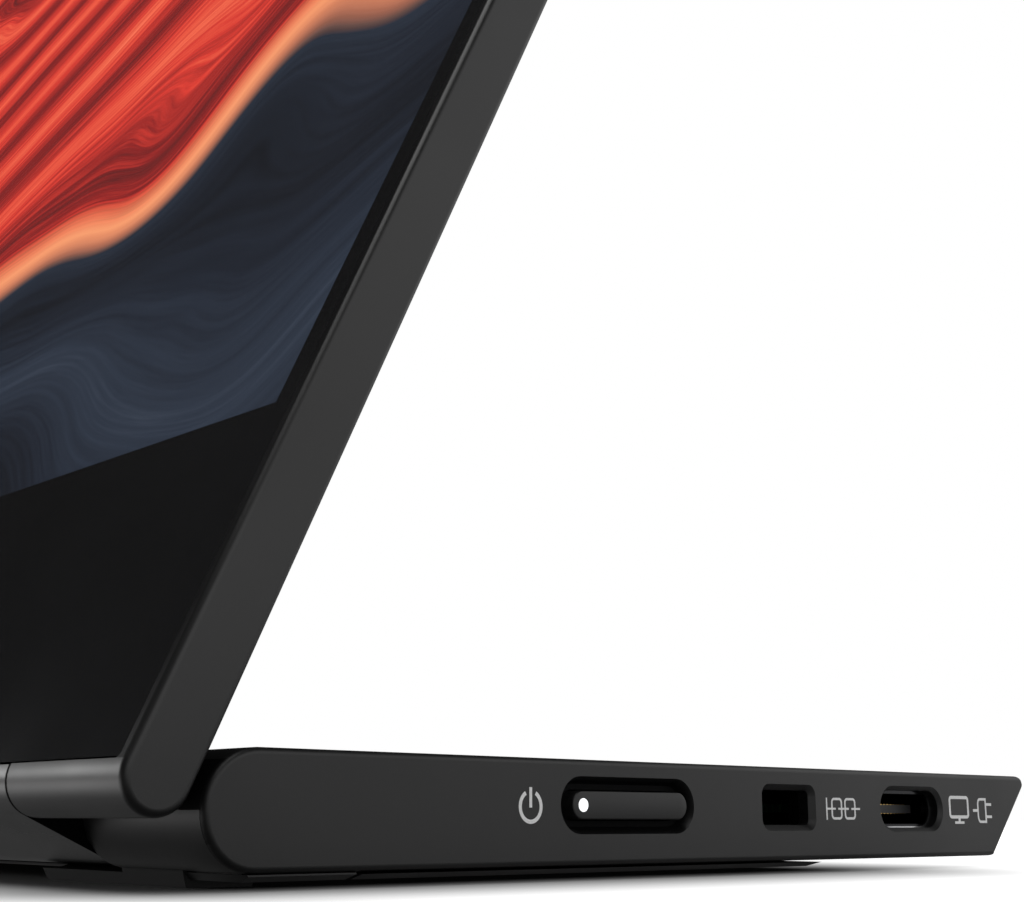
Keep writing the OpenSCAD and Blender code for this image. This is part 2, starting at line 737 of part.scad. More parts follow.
arm_top = rail_l - 0.6;
module hinge_arm() difference() {
    union() {
        along_x(arm_x0, arm_x1) belt([0, 0], arm_r, axis_s, slab_r);
        on_slab() {
            block([arm_x0, 0, 0], [arm_x1, arm_top, glass_z - seam_gap]);
            block([arm_x0 + 2, arm_top - join, back_wall],
                [arm_x1 - 2, rail_l + tongue_l, back_wall + tongue_t]);
        }
    }
    on_slab() block([arm_x0 - join, -seam_gap, glass_z - seam_gap],
        [arm_x1 + join, slab_r + 1, slab_t + 1]);
    rod(shaft_r, arm_x0 - join, arm_x1 + join);
    on_slab() for (p = arm_screw_places) translate([p[0], p[1], 0]) cylinder(r = screw_r, h = slab_t);
}
arm_screw_places = [for (x = [arm_x0 + 7, (arm_x0 + arm_x1) / 2, arm_x1 - 7])
    [x, rail_l + tongue_l - 4]];
module hinge_arm_right() color("#303132") place_screen() hinge_arm();
module hinge_arm_left() color("#303132") place_screen() mirror([1, 0, 0]) difference() {
    hinge_arm();
    cable_cut();
}
// Channel for the cable through the left arm and the rail of the screen housing
module cable_cut() chain([cable_route[0], cable_route[1], cable_route[2]], cable_r + cable_gap);

// Screws through each tongue into the back wall, with their heads inside
module arm_screws() color("#4a4b4d") place_screen() on_slab() both_sides()
    for (p = arm_screw_places) translate([p[0], p[1], back_wall + tongue_t + head_h])
        mirror([0, 0, 1]) screw_up(head_h + tongue_t + screw_bite);
screw_bite = 0.5;

// Screen

// Flat plate from s0 to s1 up the screen, w wide, with rounded corners
module sheet(w, s0, s1, z0, z1, r) translate([0, (s0 + s1) / 2, z0]) linear_extrude(z1 - z0)
    rounded_rect(w, s1 - s0, r);

corner_r = 0.4;
module screen_housing() color("#2e2f30") place_screen() on_slab() difference() {
    union() {
        difference() {
            union() {
                translate([0, 0, slab_r]) {
                    half_drum(body_w, slab_t, slab_edge);
                    bar(body_w, slab_t, slab_edge, 0, slab_l - slab_r);
                }
                translate([0, slab_l - slab_r, slab_r]) mirror([0, 1, 0])
                    half_drum(body_w, slab_t, slab_edge);
            }
            sheet(body_w - 2 * rim_w, 0, slab_l - top_rim, glass_z, slab_t + 1, corner_r);
            sheet(body_w - 2 * rim_in, rail_l, slab_l - rim_in, back_wall, slab_t, corner_r);
        }
        for (x = driver_studs, y = [driver_y0 + 2, driver_y1 - 2])
            translate([x, y, back_wall - join]) cylinder(r = 1.5, h = stud_h + join);
    }
    both_sides() {
        block([arm_x0 - arm_gap, -slab_t, -1], [arm_x1 + arm_gap, arm_top + arm_gap, slab_t + 1]);
        block([arm_x0 + 2 - arm_gap, 0, back_wall],
            [arm_x1 - 2 + arm_gap, rail_l + 1, back_wall + tongue_t + arm_gap]);
        for (p = arm_screw_places) translate([p[0], p[1], back_wall - screw_bite])
            cylinder(r = screw_r, h = slab_t);
        for (y = bumper_y) translate([bumper_x, y, -join]) cylinder(r = bumper_r, h = bumper_in + join);
    }
    mirror([1, 0, 0]) translate([0, lead, -slab_z]) cable_cut();
}
stud_h = 0.4;
bumper_x = half_w - 20;
bumper_y = [14, 74];
bumper_r = 3;
bumper_in = 0.3;
bumper_h = 0.5;

module front_glass() color("#0b0c0e") place_screen() on_slab()
    sheet(body_w - 2 * rim_w - 2 * glass_gap, glass_gap, slab_l - top_rim - glass_gap,
        glass_z, glass_top, corner_r - glass_gap);

panel_margin = 0.6;
panel_w = picture_w + 2 * panel_margin;
panel_y0 = chin - panel_margin;
panel_y1 = chin + picture_h + panel_margin;
module lcd_panel() color("#15202c") place_screen() on_slab()
    sheet(panel_w, panel_y0, panel_y1, glass_z - lcd_t, glass_z, 0.3);

module backlight() color("#d9dcde") place_screen() on_slab()
    sheet(panel_w - 1, panel_y0 + 0.5, panel_y1 - 0.5, back_wall + tape_t, glass_z - lcd_t, 0.3);

module panel_tape() color("#5a5b5d") place_screen() on_slab() {
    for (s = [-1, 1], x = [panel_w / 6, panel_w / 2 - tape_w])
        block([s * x - tape_w / 2, panel_y0 + 2 * tape_w, back_wall],
            [s * x + tape_w / 2, panel_y1 - 2 * tape_w, back_wall + tape_t]);
}
tape_w = 6;

module driver_board() color("#1e4a33") place_screen() on_slab() {
    block([-driver_w / 2, driver_y0, back_wall + stud_h],
        [driver_w / 2, driver_y1, back_wall + stud_h + board_t]);
    for (s = [-1, 0, 1]) translate([s * chip_pitch - chip_w / 2, driver_y0 + chip_w / 4,
            back_wall + stud_h + board_t - join])
        cube([chip_w, chip_w * 0.6, chip_h + join]);
}
chip_pitch = driver_w * 0.28;
chip_w = 10;
chip_h = 0.9;

// Flat ribbons from the lower edge of the panel down to the driver board
module panel_ribbons() color("#b8862f") place_screen() on_slab() {
    t = 0.15;
    board_top = back_wall + stud_h + board_t;
    edge = glass_z - lcd_t / 2;
    for (s = [-1, 0, 1]) along_x(s * ribbon_pitch - ribbon_w / 2, s * ribbon_pitch + ribbon_w / 2) polygon([
        [panel_y0, edge], [driver_y1 + 2, edge], [driver_y1 - 0.5, board_top + t],
        [driver_y1 - 3, board_top + t], [driver_y1 - 3, board_top], [driver_y1 - 0.3, board_top],
        [driver_y1 + 2.2, edge - t], [panel_y0, edge - t]]);
}
ribbon_w = 24;
ribbon_pitch = driver_w * 0.37;

module screen_bumpers() color("#141415") place_screen() on_slab() both_sides()
    for (y = bumper_y) translate([bumper_x, y, -bumper_h]) cylinder(r = bumper_r, h = bumper_h + bumper_in);

// Buttons, drawn on their side face

module push_button(l) {
    translate([button_proud, 0, 0]) stadium(l, button_h, button_proud + button_in + join);
    translate([-button_in, 0, 0]) stadium(l + flange_extra, button_h + flange_extra, flange_t);
}

light_y = -(power_len - button_h) / 2;
module power_button() color("#3b3c3e") place() at_side(1, power_y) difference() {
    push_button(power_len);
    translate([0, light_y, 0]) rod(light_d / 2, -light_l, 1);
}
light_l = 2;
module power_light() color("#f4f7fa") place() at_side(1, power_y)
    translate([0, light_y, 0]) rod(light_d / 2, -light_l, button_proud);

module brightness_rocker() color("#3b3c3e") place() at_side(-1, rocker_y) {
    translate([button_proud, 0, 0]) stadium(rocker_len, button_h, button_proud + button_in);
    translate([-button_in - rocker_gap + 0.05, 0, 0])
        stadium(rocker_flange, button_h + flange_extra, flange_t);
    block([-button_in - rocker_gap, -rocker_flange / 2 + 1, -button_h / 2],
        [-rocker_pivot, rocker_flange / 2 - 1, button_h / 2]);
    translate([-rocker_pivot, 0, -rocker_pin_h / 2]) cylinder(r = rocker_pin_r, h = rocker_pin_h);
}

module comfort_button() color("#3b3c3e") place() at_side(-1, comfort_y) push_button(comfort_len);

// Lift foot, folded flat under the base
module lift_foot() color("#232425") place() difference() {
    union() {
        // Thick middle with a round front edge on the pins' axis
        along_x(-plate_x, plate_x) {
            translate([pin_y, pin_z]) circle(plate_t / 2);
            translate([pin_y, strip_low]) square([plate_mid_end - pin_y, plate_t]);
        }
        // Thin skirt over the pocket's edge, its lower edges sloping in
        intersection() {
            along_x(-skirt_x, skirt_x) polygon([[skirt_y, strip_low], [plate_end - plate_h, strip_low],
                [plate_end, under_z - skirt_gap], [skirt_y, under_z - skirt_gap]]);
            translate([0, base_d, 0]) rotate([90, 0, 0]) linear_extrude(base_d)
                polygon([[-skirt_x + plate_bevel, strip_low], [skirt_x - plate_bevel, strip_low],
                    [skirt_x, under_z - skirt_gap], [-skirt_x, under_z - skirt_gap]]);
        }
    }
    block([-nose_w / 2, plate_mid_end, -base_t], [nose_w / 2, base_d, 0]);
    both_sides() translate([0, pin_y, pin_z]) rod(pin_r, plate_x - pin_len, plate_x + join);
}
skirt_y = pin_y + 1.4;
pin_fit_r = pin_r + shaft_fit;

module lift_foot_nose() color("#141415") place() along_x(-nose_w / 2, nose_w / 2) {
    r = (plate_t - 0.1) / 2;
    translate([plate_mid_end, strip_low]) square([nose_l - r, 2 * r]);
    translate([plate_mid_end + nose_l - r, strip_low + r]) circle(r);
}

module lift_foot_pins() color("#a9acb0") place() both_sides()
    translate([0, pin_y, pin_z]) rod(pin_r, plate_x - pin_len, plate_x + plate_gap + pin_len - 0.8);

base_top_shell();
base_bottom_cover();
main_board();
shield_can();
button_board_right();
button_board_left();
button_switches();
port_shell_right();
port_shell_left();
port_tongue_right();
port_tongue_left();
port_contacts_right();
port_contacts_left();
cable_in_base();
cable_in_screen();
lock_plate();
base_weight();
hinge_bracket_right();
hinge_bracket_left();
bracket_screws();
cover_screws();
front_feet();
rear_feet();
screen_housing();
front_glass();
lcd_panel();
backlight();
panel_tape();
driver_board();
panel_ribbons();
screen_bumpers();
hinge_arm_right();
hinge_arm_left();
hinge_shaft_right();
hinge_shaft_left();
arm_screws();
power_button();
power_light();
brightness_rocker();
comfort_button();
lift_foot();
lift_foot_nose();
lift_foot_pins();
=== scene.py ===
# %% [markdown]
# # A portable monitor on its folding base
# A thin screen stands on a shallow base and turns on two arms at the base's round front edge.
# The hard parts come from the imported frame. Here they get their finishes, the printed signs
# on the sides, the picture on the panel, and the small details that a close look shows.

import math

import bpy
import numpy as np
from mathutils import Matrix, Vector


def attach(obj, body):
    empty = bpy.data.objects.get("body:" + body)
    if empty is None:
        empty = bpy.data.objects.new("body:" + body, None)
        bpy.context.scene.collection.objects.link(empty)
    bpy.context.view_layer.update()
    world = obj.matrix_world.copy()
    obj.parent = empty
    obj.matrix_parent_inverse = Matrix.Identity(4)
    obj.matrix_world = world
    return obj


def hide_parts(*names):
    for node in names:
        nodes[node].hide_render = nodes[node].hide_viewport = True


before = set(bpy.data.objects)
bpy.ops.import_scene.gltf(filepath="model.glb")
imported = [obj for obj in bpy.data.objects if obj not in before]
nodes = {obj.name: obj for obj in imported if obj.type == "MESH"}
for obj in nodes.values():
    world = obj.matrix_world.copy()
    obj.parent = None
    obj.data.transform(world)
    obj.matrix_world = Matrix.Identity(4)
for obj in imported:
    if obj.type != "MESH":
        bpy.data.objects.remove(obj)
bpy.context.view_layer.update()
print("nodes in the frame:", len(nodes))

# %% [markdown]
# ## Measures
# All lengths are in metres, as Blender counts them, and written in millimetres, as a maker
# thinks of them. The hinge axis runs left to right through the round front edge of the base,
# so it is the natural place to measure from: the screen turns about it, and the openings of
# the side faces are given by how far behind it they lie.

# %% Measures of base and screen
MM = 0.001
HALF_W = 158.0 * MM  # from the middle to a side face of the base
FEET = 1.0 * MM  # the underside of the base stands this high on its feet
ROW_Z = FEET + 4.08 * MM  # middle line of the buttons and ports on the side faces
HINGE = np.array([0.0, -38.465, 4.6]) * MM
TILT = math.radians(65)
print("hinge axis at", HINGE.round(4), "and the screen tilted by", round(math.degrees(TILT)))

# %% [markdown]
# ## Camera
# The picture was taken from very close, low beside the right front corner. The place and
# the direction were worked out from the straight edges of base and screen. A camera looks
# along its own -z, so it starts out facing down. It is rolled a hair about that line, tipped
# up past the horizon, and then turned to the left about the upright axis.

# %% Camera
YAW, PITCH, ROLL = 47.51, 13.55, 0.15
shot = bpy.data.cameras.new("close_lens")
shot.lens, shot.sensor_width, shot.clip_start = 53.726, 36.0, MM
camera = bpy.data.objects.new("camera", shot)
bpy.context.scene.collection.objects.link(camera)
view = Matrix.Translation((0.23486, -0.089025, 0.00411))
for degrees, axis in ((YAW, "Z"), (90 + PITCH, "X"), (ROLL, "Z")):
    view = view @ Matrix.Rotation(math.radians(degrees), 4, axis)
camera.matrix_world = view
bpy.context.scene.camera = camera
bpy.context.scene.view_settings.view_transform = "Standard"
print("camera at", tuple(round(v, 4) for v in camera.location))

# %% [markdown]
# ## Node helpers
# A finish is a small net of nodes. These helpers add a node, set its sockets and join them,
# so that each finish below reads like a recipe.


# %% Helpers for node nets
def new_net(name):
    """Empty node net of a new finish, with its output."""
    mat = bpy.data.materials.new(name)
    mat.use_nodes = True
    net = mat.node_tree
    net.nodes.clear()
    return mat, net, net.nodes.new("ShaderNodeOutputMaterial")


def finished(mat, out, shader):
    """Joins the last shader to the output and hands the finish back."""
    mat.node_tree.links.new(shader.outputs[0], out.inputs["Surface"])
    return mat


def put(net, kind, inputs=None, **settings):
    """Adds a node, sets its fields, and fills its inputs with numbers or other sockets."""
    node = net.nodes.new("ShaderNode" + kind)
    for key, value in settings.items():
        setattr(node, key, value)
    for key, value in (inputs or {}).items():
        if isinstance(value, bpy.types.NodeSocket):
            net.links.new(value, node.inputs[key])
        else:
            node.inputs[key].default_value = value
    return node


print("a node is put into a net with its inputs")

# %% [markdown]
# The sums of a recipe are nodes as well. A helper for each kind of sum keeps the recipes
# short: a single sum, a product or a total of several values, the way from one level to
# another, straight or smooth, and how far a value is past an edge.


# %% Helpers for sums
def maths(net, what, a, b=0.0, c=0.0):
    """One sum on numbers or sockets."""
    return put(net, "Math", {0: a, 1: b, 2: c}, operation=what).outputs[0]


def product(net, first, *rest):
    """All the values multiplied."""
    for value in rest:
        first = maths(net, "MULTIPLY", first, value)
    return first


def total(net, first, *rest):
    """All the values added up."""
    for value in rest:
        first = maths(net, "ADD", first, value)
    return first


def slope(net, value, start, end, low=0.0, high=1.0):
    """Straight way from low at start to high at end, level beyond. end may be below start."""
    return put(net, "MapRange", {0: value, 1: start, 2: end, 3: low, 4: high}).outputs[0]


def rise(net, value, start, end, top=1.0):
    """Smooth way from 0 at start to top at end, level beyond. end may be below start."""
    return put(net, "MapRange", {0: value, 1: start, 2: end, 3: 0.0, 4: top},
               interpolation_type="SMOOTHSTEP").outputs[0]


def past(net, value, edge):
    """How far the value is beyond the edge on either side of zero, and 0 within it."""
    return maths(net, "MAXIMUM", maths(net, "SUBTRACT", maths(net, "ABSOLUTE", value), edge), 0.0)


print("sums ready")

# %% [markdown]
# Nearly every finish starts from where a point of the surface is, adds a noise, and turns it
# into a colour. The place is taken in the piece's own frame, so the grain moves with it.


# %% Helpers for places, noises and colours
def object_point(net):
    """Where a surface point is, in the piece's own frame."""
    return put(net, "TexCoord").outputs["Object"]


def apart(net, vector):
    """The x, y and z of a vector."""
    return put(net, "SeparateXYZ", {0: vector}).outputs


def noise(net, place, scale, detail, rough=0.5):
    """Soft random level between 0 and 1, with the given number of bumps in a metre."""
    return put(net, "TexNoise", {"Vector": place, "Scale": scale, "Detail": detail,
                                 "Roughness": rough}).outputs["Fac"]


def ramp(net, fac, stops):
    """Colour that runs through the given (position, colour) stops."""
    node = put(net, "ValToRGB", {"Fac": fac})
    edge = node.color_ramp.elements
    while len(edge) < len(stops):
        edge.new(0.5)
    for e, (at, colour) in zip(edge, stops):
        e.position, e.color = at, (*colour, 1)
    return node.outputs["Color"]


def blend(net, fac, a, b):
    """Colour a where fac is 0, and colour b where it is 1."""
    return put(net, "Mix", {0: fac, 6: a, 7: b}, data_type="RGBA").outputs[2]


def drifting(colour, drift):
    """The darker and the lighter end of a colour that drifts by the given share."""
    return [c * (1 - drift) for c in colour], [min(1.0, c * (1 + drift)) for c in colour]


print("places, noises and colours ready")

# %% [markdown]
# ## Where less light falls
# The walls of a narrow recess and the broken edges beside a hinge barrel look almost black on
# the real object. In a render their sheen would still mirror the bright room. The two
# functions below work out such places from the point's own coordinates, and the plastic uses
# the result to dim its sheen.

# %% Recesses and seams
RECESS_HALF_H = 2.4 * MM
RECESS_END_RIGHT, RECESS_END_LEFT = 40.1 * MM, 55.9 * MM
RECESS_DEEP = 0.60 * MM
ARM_SEAM = 143.55 * MM
BARREL_TOP = 8.4 * MM


def open_air(net):
    """1 on the outer faces, falling to almost 0 inside the button recesses of both sides. The
    recesses end further back on the left, so the end is a straight line in x between the two."""
    x, y, z = apart(net, object_point(net))
    depth = maths(net, "SUBTRACT", HALF_W, maths(net, "ABSOLUTE", x))
    open_rim = slope(net, depth, RECESS_DEEP, 0.0, 0.04, 1.0)
    off_row = maths(net, "ABSOLUTE", maths(net, "SUBTRACT", z, ROW_Z))
    above = maths(net, "GREATER_THAN", off_row, RECESS_HALF_H)
    lean = (RECESS_END_LEFT - RECESS_END_RIGHT) / (2 * HALF_W)
    middle = (RECESS_END_LEFT + RECESS_END_RIGHT) / 2
    behind = maths(net, "GREATER_THAN", maths(net, "MULTIPLY_ADD", x, lean, y), HINGE[1] + middle)
    return maths(net, "MAXIMUM", open_rim, maths(net, "MAXIMUM", above, behind))


def clear_of_seam(net):
    """1 on open faces, falling to almost 0 on the broken edges beside the end of each barrel."""
    x, _, z = apart(net, object_point(net))
    away = maths(net, "ABSOLUTE", maths(net, "SUBTRACT", maths(net, "ABSOLUTE", x), ARM_SEAM))
    beside = slope(net, away, 0.10 * MM, 0.22 * MM, 0.02, 1.0)
    return maths(net, "MAXIMUM", beside, maths(net, "GREATER_THAN", z, BARREL_TOP))


print("seams at x = +-", ARM_SEAM)

# %% [markdown]
# ## Satin black plastic
# The shells are moulded in black with a very fine spark-eroded grain and a soft paint-like
# sheen. The grain is too small to see as bumps, but it spreads the highlight. A fine noise
# as bump does this, and a wide faint one lets colour and gloss drift a little.


# %% Plastics
def plastic(name, colour, rough, grain=0.10 * MM, depth=0.004 * MM, drift=0.10, shade_of=None):
    """Satin plastic: fine noise as bump, wide noise on colour and roughness. shade_of dims the sheen."""
    mat, net, out = new_net(name)
    point = object_point(net)
    fine = noise(net, point, 1 / grain, 2.0)
    wide = noise(net, point, 90.0, 3.0)
    speck = noise(net, point, 0.35 / grain, 1.0)
    tone = maths(net, "MULTIPLY_ADD", speck, 0.35, maths(net, "MULTIPLY", wide, 0.65))
    low, high = drifting(colour, drift)
    tint = ramp(net, tone, [(0.35, low), (0.65, high)])
    gloss = slope(net, wide, 0.3, 0.7, rough - 0.04, rough + 0.04)
    bump = put(net, "Bump", {"Height": fine, "Distance": depth, "Strength": 0.6}).outputs["Normal"]
    sheen = maths(net, "MULTIPLY", shade_of(net), 0.5) if shade_of else 0.5
    shader = put(net, "BsdfPrincipled", {"Base Color": tint, "Roughness": gloss, "Normal": bump,
                                         "Specular IOR Level": sheen})
    return finished(mat, out, shader)


shell_black = plastic("shell_black", (0.0052, 0.0052, 0.0054), 0.42, shade_of=open_air)
screen_black = plastic("screen_black", (0.0052, 0.0052, 0.0054), 0.36, shade_of=clear_of_seam)
cover_black = plastic("cover_black", (0.0055, 0.0055, 0.0057), 0.42)
leg_black = plastic("leg_black", (0.0055, 0.0055, 0.0057), 0.45)
button_black = plastic("button_black", (0.0045, 0.0045, 0.0047), 0.45)
arm_black = plastic("arm_black", (0.0055, 0.0055, 0.0057), 0.26, shade_of=clear_of_seam)
switch_black = plastic("switch_black", (0.030, 0.030, 0.030), 0.6)
port_insulator = plastic("port_insulator", (0.010, 0.010, 0.011), 0.4)
foot_rubber = plastic("foot_rubber", (0.008, 0.008, 0.008), 0.6, grain=0.2 * MM, depth=0.012 * MM)
cable_black = plastic("cable_black", (0.015, 0.015, 0.016), 0.55)
foam_tape = plastic("foam_tape", (0.05, 0.05, 0.05), 0.9, grain=0.3 * MM, depth=0.05 * MM, drift=0.3)
light_guide = plastic("light_guide", (0.70, 0.71, 0.72), 0.35, drift=0.02)
panel_glass = plastic("panel_glass", (0.012, 0.018, 0.028), 0.3)
print("plastics:", len(bpy.data.materials))

# %% [markdown]
# ## Metals
# The hidden plates are brushed or bead blasted, the shaft is ground, and the contacts are
# gold. A noise stretched along one axis makes the brushing: it is squeezed across the lines,
# and the same noise drives bump, colour and gloss, as a real scratch changes all three.


# %% Metals
def metal(name, colour, rough, stretch=(1, 14, 14), depth=0.003 * MM, drift=0.12):
    """Brushed metal: a noise squeezed across the brushing gives bump, colour and roughness."""
    mat, net, out = new_net(name)
    lie = put(net, "Mapping", {"Vector": object_point(net), "Scale": [60.0 * k for k in stretch]})
    brushing = noise(net, lie.outputs[0], 6.0, 5.0)
    low, high = drifting(colour, drift)
    tint = ramp(net, brushing, [(0.3, low), (0.7, high)])
    gloss = slope(net, brushing, 0.3, 0.7, rough - 0.05, rough + 0.07)
    bump = put(net, "Bump", {"Height": brushing, "Distance": depth, "Strength": 0.5}).outputs["Normal"]
    shader = put(net, "BsdfPrincipled", {"Base Color": tint, "Metallic": 1.0, "Roughness": gloss,
                                         "Normal": bump})
    return finished(mat, out, shader)


tin_plate = metal("tin_plate", (0.6, 0.61, 0.62), 0.35)
contact_gold = metal("contact_gold", (0.83, 0.56, 0.20), 0.2, depth=0.001 * MM, drift=0.05)
black_steel = metal("black_steel", (0.02, 0.02, 0.02), 0.5)
bare_steel = metal("bare_steel", (0.42, 0.43, 0.45), 0.4)
screw_steel = metal("screw_steel", (0.12, 0.12, 0.125), 0.35)
shaft_steel = metal("shaft_steel", (0.5, 0.5, 0.51), 0.22, stretch=(14, 1, 1))
print("plastics and metals:", len(bpy.data.materials))

# %% [markdown]
# ## The steel of the ports
# A port shell is nickel plated, and one looks into it as into a short tunnel. Its light and
# shade are painted into the colour: the inside is painted dark as shade, and the mouth gets a
# thin painted highlight along the lower edge. The mouth is a stadium, so a point's distance
# from the stadium's middle line tells the edge from the rest.

# %% Steel of the ports
PORT_SINK, PORT_Y = 1.2 * MM, 67.05 * MM
PORT_W, PORT_H = 8.94 * MM, 3.16 * MM


def port_metal(name):
    """Nickel painted dark as shade, with a painted highlight line along the lower and rear edge
    of the mouth. r is how far a point is from the stadium's middle line."""
    mat, net, out = new_net(name)
    point = object_point(net)
    x, y, z = apart(net, point)
    back = maths(net, "SUBTRACT", y, HINGE[1] + PORT_Y)
    up = maths(net, "SUBTRACT", z, ROW_Z)
    run = past(net, back, (PORT_W - PORT_H) / 2)
    r = maths(net, "SQRT", maths(net, "MULTIPLY_ADD", run, run, maths(net, "MULTIPLY", up, up)))
    edge = rise(net, r, PORT_H / 2 - 0.13 * MM, PORT_H / 2 - 0.09 * MM)
    depth = maths(net, "SUBTRACT", HALF_W - PORT_SINK, maths(net, "ABSOLUTE", x))
    mouth = maths(net, "LESS_THAN", depth, 0.02 * MM)
    low_and_rear = maths(net, "SUBTRACT", maths(net, "MULTIPLY", back, 0.35), up)
    # Painted light and shade: dark inside as painted shade, and a painted highlight on the lower and rear
    # edge of the mouth.
    painted_lip_highlight = product(net, edge, mouth, rise(net, low_and_rear, 0.2 * MM, 1.2 * MM))
    tint = ramp(net, painted_lip_highlight, [(0.0, (0.030, 0.030, 0.032)), (1.0, (0.62, 0.62, 0.63))])
    gloss = slope(net, noise(net, point, 3000.0, 2.0), 0.3, 0.7, 0.14, 0.2)
    shader = put(net, "BsdfPrincipled", {"Base Color": tint, "Metallic": 1.0, "Roughness": gloss})
    return finished(mat, out, shader)


port_steel = port_metal("port_steel")
print("port mouth:", PORT_W, "by", PORT_H)

# %% [markdown]
# ## Boards, ribbons and the small lamp
# A circuit board is green lacquer over copper, so its colour changes where copper lies
# below. A grid of cells and thin bands stands for pads and tracks. The power light is a
# milky lens, lit from behind, so its finish gives off light of its own colour.


# %% Boards, ribbons, lamp
def circuit(name, base, copper, scale):
    """Lacquered board: cells mark pads, bands mark tracks, both a little raised."""
    mat, net, out = new_net(name)
    point = object_point(net)
    cell = put(net, "TexVoronoi", {"Vector": point, "Scale": scale}, feature="F1",
               distance="CHEBYCHEV").outputs["Distance"]
    band = put(net, "TexWave", {"Vector": point, "Scale": scale * 0.9, "Distortion": 6.0,
                                "Detail": 1.0}).outputs["Fac"]
    track = maths(net, "MAXIMUM", maths(net, "LESS_THAN", cell, 0.16), maths(net, "GREATER_THAN", band, 0.86))
    tint = ramp(net, track, [(0.0, base), (1.0, copper)])
    bump = put(net, "Bump", {"Height": track, "Distance": 0.02 * MM, "Strength": 0.5}).outputs["Normal"]
    shader = put(net, "BsdfPrincipled", {"Base Color": tint, "Roughness": 0.35, "Normal": bump})
    return finished(mat, out, shader)


def lamp_lens(name):
    """Milky lens that is lit: a fine noise clouds the milk."""
    mat, net, out = new_net(name)
    milk = noise(net, object_point(net), 2500.0, 2.0)
    tint = ramp(net, milk, [(0.3, (0.88, 0.90, 0.93)), (0.7, (0.98, 0.99, 1.0))])
    shader = put(net, "BsdfPrincipled", {"Base Color": tint, "Roughness": 0.3, "Emission Color": tint,
                                         "Emission Strength": 0.9})
    return finished(mat, out, shader)


circuit_board = circuit("circuit_board", (0.02, 0.09, 0.05), (0.06, 0.17, 0.09), 420.0)
ribbon_amber = circuit("ribbon_amber", (0.42, 0.22, 0.05), (0.55, 0.33, 0.10), 500.0)
light_white = lamp_lens("light_white")
print("finishes so far:", len(bpy.data.materials))

# %% [markdown]
# ## The lit picture under the cover glass
# The front is one sheet of glass, black printed behind its border. The panel behind it is
# lit and shows a plain abstract picture: soft ribbons of fine threads, warm above and slate
# below. The picture is worked out from x across and s up the glass, so it turns with the
# screen and stays sharp at any distance. The third coordinate, t, runs from the back of the
# slab to its front.

# %% The picture as a node net
LEAD, SLAB_Z = 1.12 * MM, 4.36 * MM  # from the slab's lower back corner to the hinge axis
FOLD = 14 * MM


def slab_point(net):
    """Surface point as (x, s, t): the tilt is undone about the hinge axis."""
    back = Matrix.Rotation(-TILT, 3, "X")
    shift = Vector((0, LEAD, -SLAB_Z)) - back @ Vector(HINGE)
    lie = put(net, "Mapping", {"Vector": object_point(net), "Location": shift,
                               "Rotation": (-TILT, 0, 0)})
    return lie.outputs[0]


def picture(net, flat):
    """Colour of the picture. The level of a point is s plus slow waves in x. Each FOLD of the
    level is one ribbon, and threads run along it: a noise that is long in x and thin in level."""
    x, s, _ = apart(net, flat)
    slow = noise(net, flat, 11.0, 2.0)
    wave = maths(net, "SINE", maths(net, "MULTIPLY_ADD", x, 34.0, maths(net, "MULTIPLY", slow, 4.0)))
    level = maths(net, "MULTIPLY_ADD", x, -0.42, maths(net, "MULTIPLY_ADD", wave, 0.016, s))
    level = maths(net, "MULTIPLY_ADD", maths(net, "SUBTRACT", slow, 0.5), 0.05, level)
    fold = maths(net, "MULTIPLY", maths(net, "PINGPONG", level, FOLD), 1 / FOLD)
    along = put(net, "CombineXYZ", {0: maths(net, "MULTIPLY", x, 25.0),
                                    1: maths(net, "MULTIPLY", level, 900.0)})
    thread = noise(net, along.outputs[0], 1.0, 6.0, 0.7)
    warm = ramp(net, maths(net, "MULTIPLY_ADD", fold, 0.35, maths(net, "MULTIPLY", thread, 0.75)),
                [(0.22, (0.03, 0.012, 0.012)), (0.44, (0.26, 0.016, 0.015)), (0.62, (0.70, 0.045, 0.030)),
                 (0.80, (0.90, 0.15, 0.075)), (0.94, (1.0, 0.50, 0.30))])
    cool = ramp(net, maths(net, "MULTIPLY_ADD", fold, 0.45, maths(net, "MULTIPLY", thread, 0.55)),
                [(0.20, (0.005, 0.006, 0.009)), (0.45, (0.012, 0.016, 0.026)), (0.70, (0.024, 0.033, 0.052)),
                 (0.95, (0.055, 0.070, 0.10))])
    both = blend(net, slope(net, level, 0.010, 0.018), cool, warm)
    seam = slope(net, maths(net, "ABSOLUTE", maths(net, "SUBTRACT", level, 0.016)), 0.0, 0.007, 0.8, 0.0)
    return blend(net, seam, both, (1.0, 0.40, 0.18, 1))


print("one ribbon of the picture is", FOLD, "m wide")

# %% [markdown]
# The glass itself is one finish: glossy and almost black, lit inside the picture's frame,
# and painted matt black on its cut edge as shade, since that edge faces the rim of the
# housing and gets no light.

# %% Cover glass
GLASS_TOP = 4.5 * MM
CHIN = 25.1 * MM
PICTURE_X, PICTURE_H = 154.95 * MM, 174.3 * MM
HAIR = 0.03 * MM


def inside(net, value, low, high):
    """1 where low < value < high, with a hair-thin soft edge."""
    up = slope(net, value, low - HAIR, low + HAIR)
    return product(net, up, slope(net, value, high + HAIR, high - HAIR))


